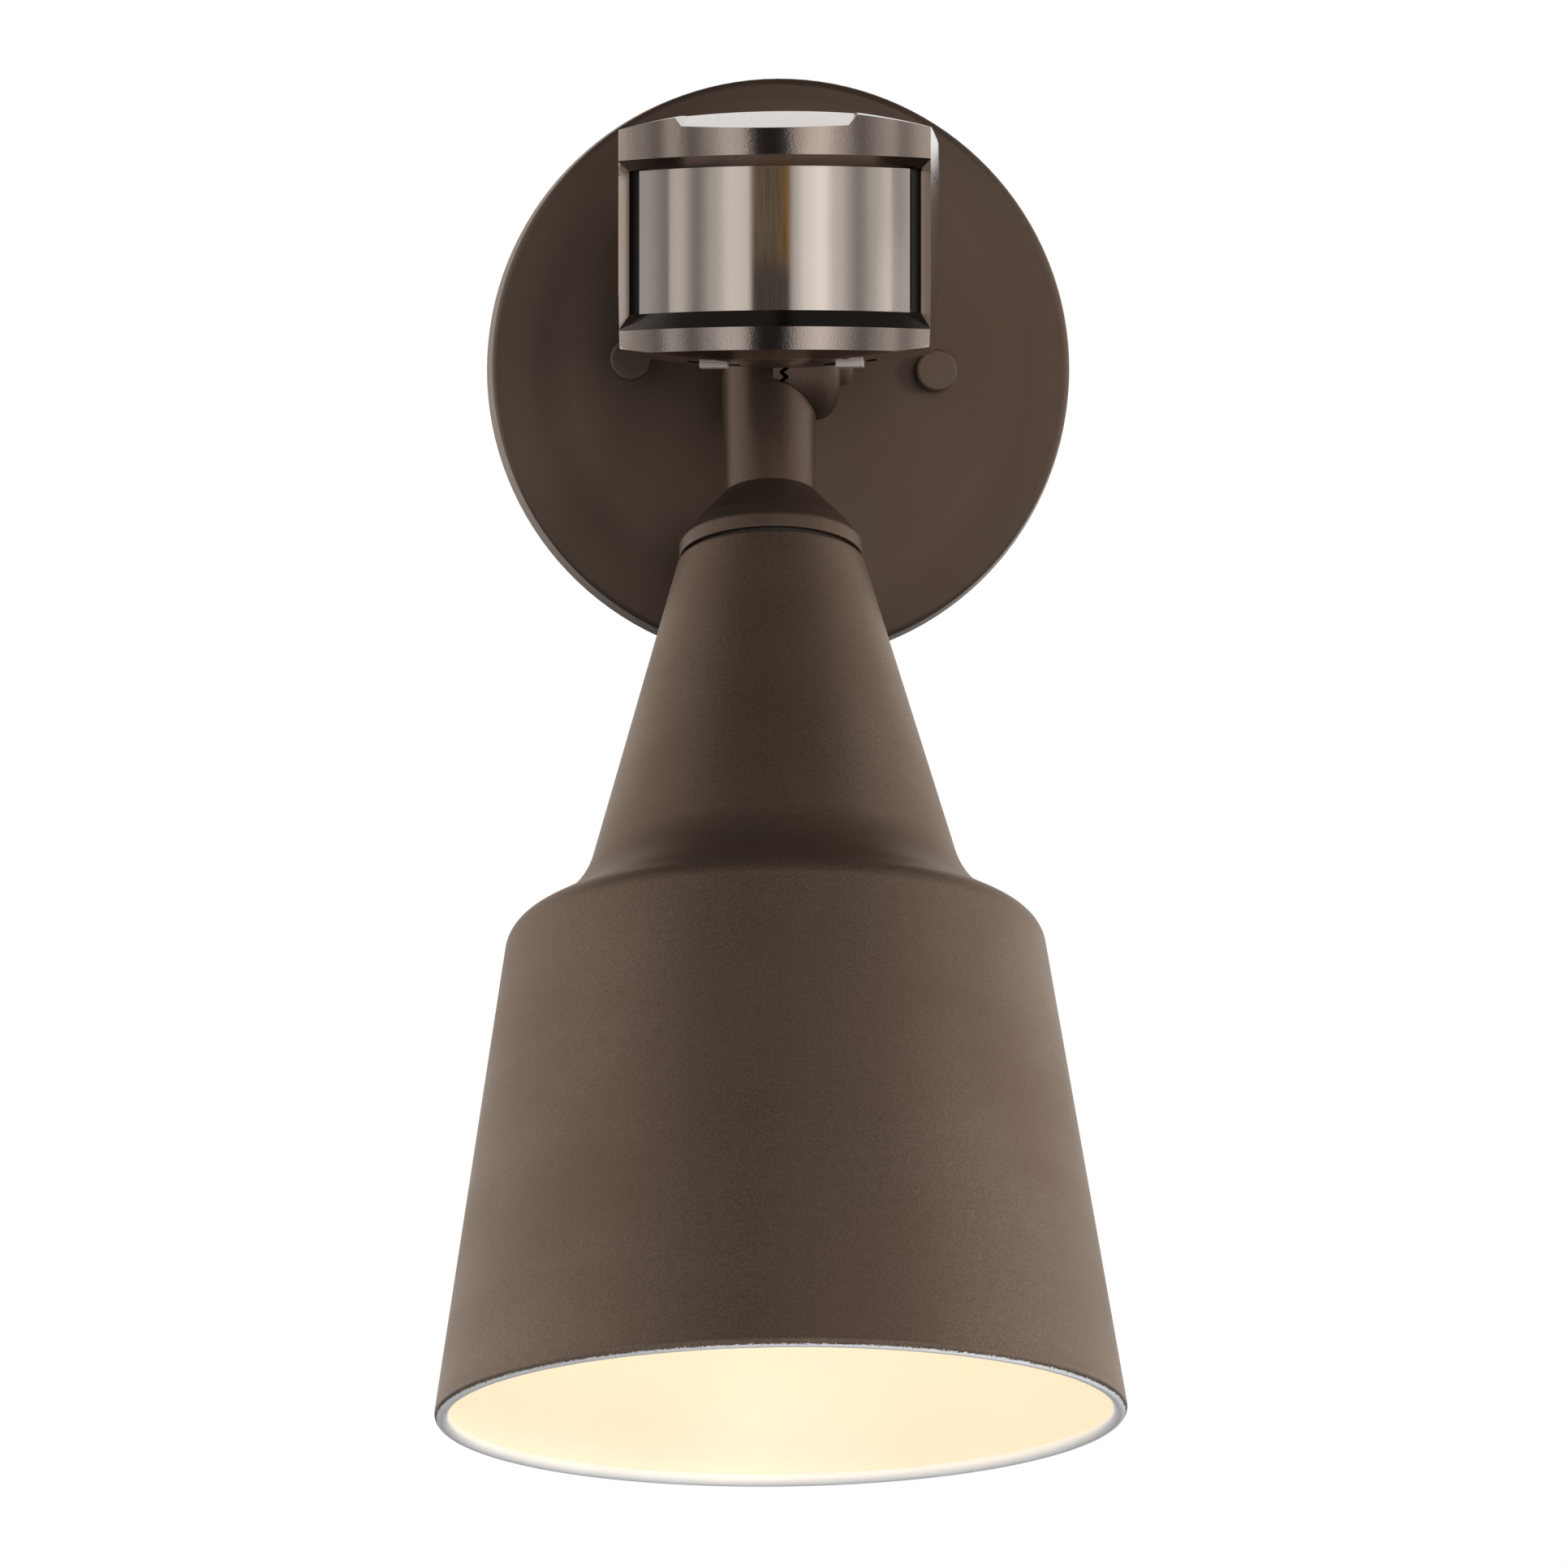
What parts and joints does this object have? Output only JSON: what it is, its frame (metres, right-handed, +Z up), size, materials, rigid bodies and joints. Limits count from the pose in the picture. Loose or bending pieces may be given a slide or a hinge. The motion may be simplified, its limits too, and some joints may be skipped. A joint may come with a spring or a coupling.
{
  "type": "motion sensor security light",
  "caption": "Outdoor wall light with a round canopy, a serrated knuckle arm, a spun bell shade over a reflector bulb, and a swivelling infrared motion sensor head above.",
  "frame": {"origin": "centre of the canopy's back plane, where it meets the wall", "axes": "+X to the viewer's right, +Y into the wall, +Z up; the lamp and the sensor stand forward along -Y"},
  "size_m": [0.1469, 0.1848, 0.3197],
  "materials": {
    "bronze_metal": "satin metallic bronze paint",
    "bronze_casting": "satin metallic bronze paint on a casting",
    "bronze_hardware": "satin bronze paint on hardware",
    "shade_metal": "satin bronze paint outside, white enamel inside",
    "sensor_plastic": "satin metallic bronze moulding",
    "smoked_lens": "smoked polyethylene",
    "black_plastic": "matt black",
    "knob_plastic": "light grey, satin",
    "foam": "closed-cell foam",
    "zinc_steel": "zinc plated",
    "green_steel": "green passivated",
    "brass": "plain",
    "porcelain": "glazed white",
    "nickel_shell": "bright",
    "bulb_white": "satin white",
    "bulb_black": "black glass insulator",
    "bulb_diffuser": "frosted, lit warm white",
    "board_green": "solder mask",
    "board_white": "white board with light-emitting dies",
    "detector_can": "nickel can",
    "photocell_cover": "clear over an orange track",
    "led_red": "clear red",
    "relay_case": "blue",
    "capacitor_case": "red"
  },
  "bodies": {
    "wall_plate": {"canopy": "bronze_metal", "wall_gasket": "foam", "crossbar": "zinc_steel", "ground_screw": "green_steel", "canopy_studs": "zinc_steel", "cap_nuts": "bronze_hardware", "sensor_post": "bronze_casting", "post_washer": "zinc_steel", "post_locknut": "zinc_steel", "pan_pin": "bronze_hardware"},
    "knuckle_arm": {"upper_arm": "bronze_casting", "arm_lock_washer": "zinc_steel", "arm_locknut": "zinc_steel", "pivot_screw": "bronze_hardware", "pivot_nut": "bronze_hardware"},
    "lamp_head": {"lower_arm": "bronze_casting", "socket_cap": "bronze_casting", "cap_gasket": "foam", "lamp_shade": "shade_metal", "threaded_nipple": "zinc_steel", "nipple_locknut": "zinc_steel", "socket_body": "porcelain", "screw_shell": "nickel_shell", "center_contact": "brass"},
    "bulb": {"bulb_contact": "brass", "bulb_insulator": "bulb_black", "bulb_base": "nickel_shell", "bulb_body": "bulb_white", "bulb_led_board": "board_white", "bulb_lens": "bulb_diffuser"},
    "sensor_swivel": {"swivel_knuckle": "bronze_casting"},
    "sensor_head": {"tilt_screw": "bronze_hardware", "tilt_nut": "bronze_hardware", "sensor_top_shell": "sensor_plastic", "sensor_body_shell": "sensor_plastic", "sensor_lens": "smoked_lens", "lens_frame": "black_plastic", "switch_board": "board_green", "main_board": "board_green", "pir_detector": "detector_can", "photocell": "photocell_cover", "status_led": "led_red", "relay": "relay_case", "supply_capacitor": "capacitor_case", "housing_screws": "zinc_steel", "slide_switches": "black_plastic"},
    "on_time_switch": {"on_time_knob": "knob_plastic"},
    "range_switch": {"range_knob": "knob_plastic"}
  },
  "joints": [
    {"name": "lamp_swivel", "type": "hinge", "parent": "wall_plate", "child": "knuckle_arm", "pos_m": [0, -0.015, 0], "axis": [0, 1, 0], "range_deg": [-45, 45]},
    {"name": "lamp_tilt", "type": "hinge", "parent": "knuckle_arm", "child": "lamp_head", "pos_m": [0, -0.04, 0], "axis": [-1, 0, 0.0079], "range_deg": [-9, 20]},
    {"name": "bulb_out", "type": "slide", "parent": "lamp_head", "child": "bulb", "axis": [-0.0075, -0.314, -0.9494], "range_m": [0, 0.175]},
    {"name": "sensor_pan", "type": "hinge", "parent": "wall_plate", "child": "sensor_swivel", "pos_m": [0, -0.045, 0.03], "axis": [0, 0, 1], "range_deg": [-32, 48]},
    {"name": "sensor_tilt", "type": "hinge", "parent": "sensor_swivel", "child": "sensor_head", "pos_m": [-0.00132, -0.05441, 0.03], "axis": [-0.9903, 0.1392, 0], "range_deg": [-12, 20]},
    {"name": "on_time_slide", "type": "slide", "parent": "sensor_head", "child": "on_time_switch", "axis": [0.9903, -0.1392, 0], "range_m": [-0.0025, 0.0025]},
    {"name": "range_slide", "type": "slide", "parent": "sensor_head", "child": "range_switch", "axis": [0.9903, -0.1392, 0], "range_m": [-0.0025, 0.0025]}
  ]
}
